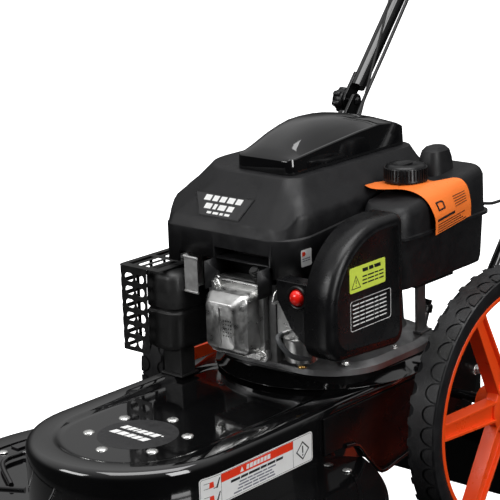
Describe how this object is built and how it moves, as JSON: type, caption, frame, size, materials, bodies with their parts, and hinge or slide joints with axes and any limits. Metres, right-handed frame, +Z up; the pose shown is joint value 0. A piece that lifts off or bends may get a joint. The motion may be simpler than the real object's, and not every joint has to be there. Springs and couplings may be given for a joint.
{
  "type": "brush mower",
  "caption": "Walk-behind wheeled string trimmer: round cutting guard on a ball foot, belt drive under a black cover, vertical-shaft engine, spoked wheels, sloping folding handle.",
  "frame": {"origin": "middle of the machine's footprint, at ground level", "axes": "+Z up, the front with the cutting guard faces -Y, the machine's left side is +X"},
  "size_m": [0.666, 1.4412, 1.0275],
  "materials": {
    "gloss_black_paint": "gloss",
    "satin_black_plastic": "satin",
    "matte_black_plastic": "matte",
    "piano_black_plastic": "high gloss",
    "orange_plastic": "satin",
    "red_bulb": "gloss",
    "rubber": "matte",
    "tyre": "matte",
    "cast_aluminium": "as cast",
    "zinc_steel": "zinc plated",
    "heat_paint_black": "heat-proof matte",
    "trimmer_line": "satin",
    "foam_grip": "foam"
  },
  "bodies": {
    "machine": {"air_filter_base": "satin_black_plastic", "air_filter_cover": "satin_black_plastic", "air_filter_element": "foam_grip", "axle_rod": "gloss_black_paint", "blower_shroud": "matte_black_plastic", "carburettor": "cast_aluminium", "clutch_cable": "rubber", "crankcase": "cast_aluminium", "cylinder_block": "cast_aluminium", "deck_pan": "gloss_black_paint", "dipstick_tube": "cast_aluminium", "drive_belt": "rubber", "engine_dish": "gloss_black_paint", "exhaust_pipe": "zinc_steel", "frame_side_left": "gloss_black_paint", "frame_side_right": "gloss_black_paint", "fuel_tank": "matte_black_plastic", "guard_skirt": "rubber", "heat_shield": "zinc_steel", "lower_handle_left": "gloss_black_paint", "lower_handle_right": "gloss_black_paint", "muffler_body": "heat_paint_black", "muffler_guard": "heat_paint_black", "rear_flap": "gloss_black_paint", "recoil_cover": "piano_black_plastic", "spark_plug": "zinc_steel", "spindle_housing": "cast_aluminium", "starter_rope": "rubber", "tank_bracket": "matte_black_plastic", "throttle_cable": "rubber", "trimmer_guard": "gloss_black_paint", "valve_cover": "cast_aluminium"},
    "wheel_left_body": {"wheel_left": "orange_plastic", "tyre_left": "tyre"},
    "wheel_right_body": {"wheel_right": "orange_plastic", "tyre_right": "tyre"},
    "crank": {"crankshaft": "zinc_steel", "drive_pulley": "zinc_steel", "flywheel": "cast_aluminium"},
    "head": {"spindle_shaft": "zinc_steel", "spindle_pulley": "zinc_steel", "line_head": "matte_black_plastic", "trimmer_line_left": "trimmer_line", "trimmer_line_right": "trimmer_line"},
    "ball": {"mow_ball": "matte_black_plastic"},
    "idler": {"idler_arm": "zinc_steel"},
    "idler_wheel": {"idler_pulley": "zinc_steel"},
    "handle": {"upper_handle": "gloss_black_paint", "grip_left": "foam_grip", "grip_right": "foam_grip", "rope_guide": "zinc_steel"},
    "knob_left": {"handle_knob_left": "matte_black_plastic"},
    "knob_right": {"handle_knob_right": "matte_black_plastic"},
    "bail": {"clutch_bail": "gloss_black_paint"},
    "lever": {"throttle_lever": "matte_black_plastic"},
    "cap": {"fuel_cap": "matte_black_plastic"},
    "dipstick": {"dipstick_cap": "matte_black_plastic"},
    "primer": {"primer_bulb": "red_bulb"},
    "starter": {"starter_grip": "matte_black_plastic"},
    "reel": {"recoil_reel": "matte_black_plastic"}
  },
  "joints": [
    {"name": "wheel_left_spin", "type": "hinge", "parent": "machine", "child": "wheel_left_body", "pos_m": [0.25365, 0.102, 0.203], "axis": [1, 0, 0], "continuous": true},
    {"name": "wheel_right_spin", "type": "hinge", "parent": "machine", "child": "wheel_right_body", "pos_m": [-0.25365, 0.102, 0.203], "axis": [1, 0, 0], "continuous": true},
    {"name": "crank_spin", "type": "hinge", "parent": "machine", "child": "crank", "pos_m": [0, 0.0124, 0.3], "axis": [0, 0, 1], "continuous": true},
    {"name": "head_spin", "type": "hinge", "parent": "machine", "child": "head", "pos_m": [0, -0.3876, 0.192], "axis": [0, 0, 1], "continuous": true},
    {"name": "mow_ball_spin", "type": "hinge", "parent": "head", "child": "ball", "pos_m": [0, -0.3876, 0.03], "axis": [0, 0, 1], "continuous": true},
    {"name": "idler_arm_swing", "type": "hinge", "parent": "machine", "child": "idler", "pos_m": [0.104, -0.0876, 0.216], "axis": [0, 0, 1], "range_deg": [-8, 0]},
    {"name": "idler_pulley_spin", "type": "hinge", "parent": "idler", "child": "idler_wheel", "pos_m": [0.08375, -0.1776, 0.192], "axis": [0, 0, 1], "continuous": true},
    {"name": "handle_fold", "type": "hinge", "parent": "machine", "child": "handle", "pos_m": [0, 0.34041, 0.569], "axis": [1, 0, 0], "range_deg": [0, 110], "deforming": ["clutch_cable", "throttle_cable", "starter_rope"]},
    {"name": "handle_knob_left_turn", "type": "hinge", "parent": "handle", "child": "knob_left", "pos_m": [0.2, 0.34041, 0.569], "axis": [1, 0, 0], "range_deg": [0, 360]},
    {"name": "handle_knob_right_turn", "type": "hinge", "parent": "handle", "child": "knob_right", "pos_m": [-0.2, 0.34041, 0.569], "axis": [-1, 0, 0], "range_deg": [0, 360]},
    {"name": "clutch_bail_pull", "type": "hinge", "parent": "handle", "child": "bail", "pos_m": [0, 0.63591, 0.91499], "axis": [1, 0, 0], "range_deg": [-15, 0], "stiffness_Nm_per_rad": 1.5, "springref_deg": 5.73},
    {"name": "throttle_lever_swing", "type": "hinge", "parent": "handle", "child": "lever", "pos_m": [0.1742, 0.5872, 0.85796], "axis": [1, 0, 0], "range_deg": [-20, 25]},
    {"name": "fuel_cap_lift", "type": "slide", "parent": "machine", "child": "cap", "axis": [0, 0, 1], "range_m": [0, 0.06]},
    {"name": "dipstick_pull", "type": "slide", "parent": "machine", "child": "dipstick", "axis": [0.0501, 0.3008, 0.9524], "range_m": [0, 0.034]},
    {"name": "primer_press", "type": "slide", "parent": "machine", "child": "primer", "axis": [0, 1, 0], "range_m": [0, 0.006], "stiffness_N_per_m": 300},
    {"name": "starter_pull", "type": "slide", "parent": "handle", "child": "starter", "axis": [0, 0.6494, 0.7604], "range_m": [0, 0.45], "stiffness_N_per_m": 8, "springref_m": -0.15, "deforming": ["starter_rope"]},
    {"name": "recoil_reel_spin", "type": "hinge", "parent": "machine", "child": "reel", "pos_m": [0, 0.0124, 0.56], "axis": [0, 0, 1], "range_deg": [0, 520]}
  ],
  "couplings": [
    {"joint": "head_spin", "follows": "crank_spin", "ratio": 0.8039},
    {"joint": "idler_arm_swing", "follows": "clutch_bail_pull", "ratio": 0.5333},
    {"joint": "recoil_reel_spin", "follows": "starter_pull", "rad_per_m": 20}
  ]
}
